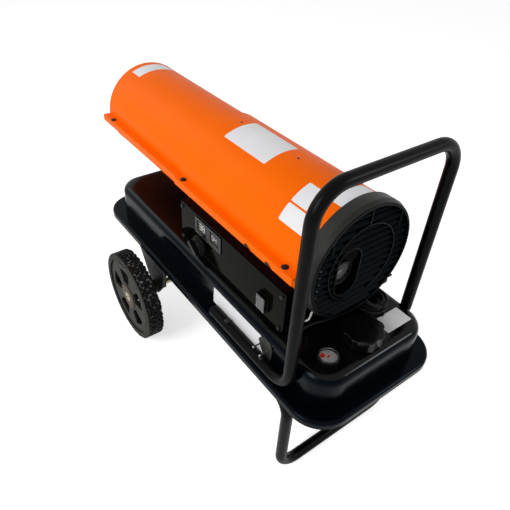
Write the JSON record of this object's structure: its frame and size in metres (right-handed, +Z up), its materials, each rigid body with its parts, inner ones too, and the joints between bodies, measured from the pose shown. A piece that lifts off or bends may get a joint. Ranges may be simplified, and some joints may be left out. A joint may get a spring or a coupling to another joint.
{
  "type": "diesel forced air heater",
  "caption": "Wheeled diesel forced air heater: stepped tube casing with fan guard and burner, side control box, fuel tank, tubular handle and foot, two wheels, coiled mains cord.",
  "frame": {"origin": "centre of the bounding box's footprint on the floor", "axes": "+X towards the fan and inlet end, -X towards the hot-air mouth, the control panel faces -Y, +Z up"},
  "size_m": [0.966, 0.4996, 0.7435],
  "materials": {
    "orange_paint": "gloss",
    "black_gloss": "gloss",
    "black_satin": "satin",
    "tyre": "matt",
    "rim_black": "matt",
    "hub_tan": "satin",
    "zinc": "satin",
    "yellow_zinc": "satin",
    "black_screw": "satin",
    "plastic_black": "satin",
    "plastic_gloss": "gloss",
    "smoked_clear": "clear",
    "glass": "clear",
    "steel": "satin",
    "aluminium": "satin",
    "brass": "satin",
    "rubber": "matt",
    "ceramic": "gloss",
    "hose_clear": "gloss",
    "board_green": "satin",
    "gauge_dial": "gloss",
    "needle_red": "matt",
    "filter_felt": "matt"
  },
  "bodies": {
    "heater": {"upper_shell": "orange_paint", "lower_shell": "orange_paint", "casing_screws": "black_screw", "fan_guard": "black_satin", "tank_upper": "black_gloss", "tank_lower": "black_gloss", "handle_frame": "black_satin", "foot_frame": "black_satin", "tube_plugs": "plastic_black", "frame_fasteners": "zinc", "wheel_bracket": "black_satin", "axle": "yellow_zinc", "axle_hardware": "zinc", "chassis_box": "black_satin", "control_panel": "black_satin", "far_cover": "black_satin", "display_module": "plastic_gloss", "switch_bezel": "plastic_black", "switch_cover": "smoked_clear", "combustion_chamber": "steel", "chamber_brackets": "steel", "burner_head": "steel", "nozzle": "brass", "igniter": "ceramic", "photocell": "plastic_black", "motor": "steel", "motor_bracket": "steel", "pump_body": "aluminium", "pump_cover": "aluminium", "pressure_gauge": "plastic_black", "pressure_lens": "glass", "ignition_transformer": "plastic_black", "control_board": "board_green", "filler_neck": "steel", "fuel_strainer": "brass", "fuel_gauge": "plastic_black", "fuel_gauge_lens": "glass", "fuel_pickup": "brass", "fuel_hose": "hose_clear", "air_hose": "hose_clear", "cord_gland": "plastic_black", "cord_lead": "rubber", "cord_coil": "rubber", "power_plug": "plastic_black"},
    "wheel_left": {"tyre_left": "tyre", "rim_left": "rim_black", "hub_plate_left": "hub_tan"},
    "wheel_right": {"tyre_right": "tyre", "rim_right": "rim_black", "hub_plate_right": "hub_tan"},
    "rotor": {"fan": "aluminium", "motor_shaft": "steel"},
    "knob": {"thermostat_knob": "plastic_black"},
    "rocker": {"power_rocker": "plastic_black"},
    "cap_seal": {"cap_gasket": "rubber"},
    "cap": {"fuel_cap": "plastic_black"},
    "float": {"float_arm": "aluminium"},
    "fuel_needle": {"fuel_gauge_needle": "needle_red"},
    "pressure_pointer": {"pressure_needle": "needle_red"}
  },
  "joints": [
    {"name": "wheel_left_spin", "type": "hinge", "parent": "heater", "child": "wheel_left", "pos_m": [-0.1904, 0.228, 0.125], "axis": [0, 1, 0], "continuous": true},
    {"name": "wheel_right_spin", "type": "hinge", "parent": "heater", "child": "wheel_right", "pos_m": [-0.1904, -0.228, 0.125], "axis": [0, 1, 0], "continuous": true},
    {"name": "fan_spin", "type": "hinge", "parent": "heater", "child": "rotor", "pos_m": [0.145, 0, 0.514], "axis": [1, 0, 0], "continuous": true},
    {"name": "knob_turn", "type": "hinge", "parent": "heater", "child": "knob", "pos_m": [0.005, -0.14, 0.382], "axis": [0, -1, 0], "range_deg": [-60, 210]},
    {"name": "rocker_press", "type": "hinge", "parent": "heater", "child": "rocker", "pos_m": [0.247, -0.132, 0.399], "axis": [1, 0, 0], "range_deg": [-14, 0]},
    {"name": "cap_lift", "type": "slide", "parent": "heater", "child": "cap_seal", "axis": [0, 0, 1], "range_m": [0, 0.0062]},
    {"name": "cap_turn", "type": "hinge", "parent": "cap_seal", "child": "cap", "pos_m": [0.397, -0.002, 0.365], "axis": [0, 0, 1], "range_deg": [0, 540]},
    {"name": "float_swing", "type": "hinge", "parent": "heater", "child": "float", "pos_m": [0.4, -0.094, 0.285], "axis": [0, 1, 0], "range_deg": [-38, 38]},
    {"name": "fuel_needle_turn", "type": "hinge", "parent": "heater", "child": "fuel_needle", "pos_m": [0.4, -0.094, 0.354], "axis": [0, 0, 1], "range_deg": [-40, 40]},
    {"name": "pressure_needle_turn", "type": "hinge", "parent": "heater", "child": "pressure_pointer", "pos_m": [0.3395, -0.036, 0.497], "axis": [1, 0, 0], "range_deg": [-240, 30]}
  ],
  "couplings": [
    {"joint": "cap_lift", "follows": "cap_turn", "m_per_rad": 0.000637},
    {"joint": "fuel_needle_turn", "follows": "float_swing", "ratio": 1}
  ]
}
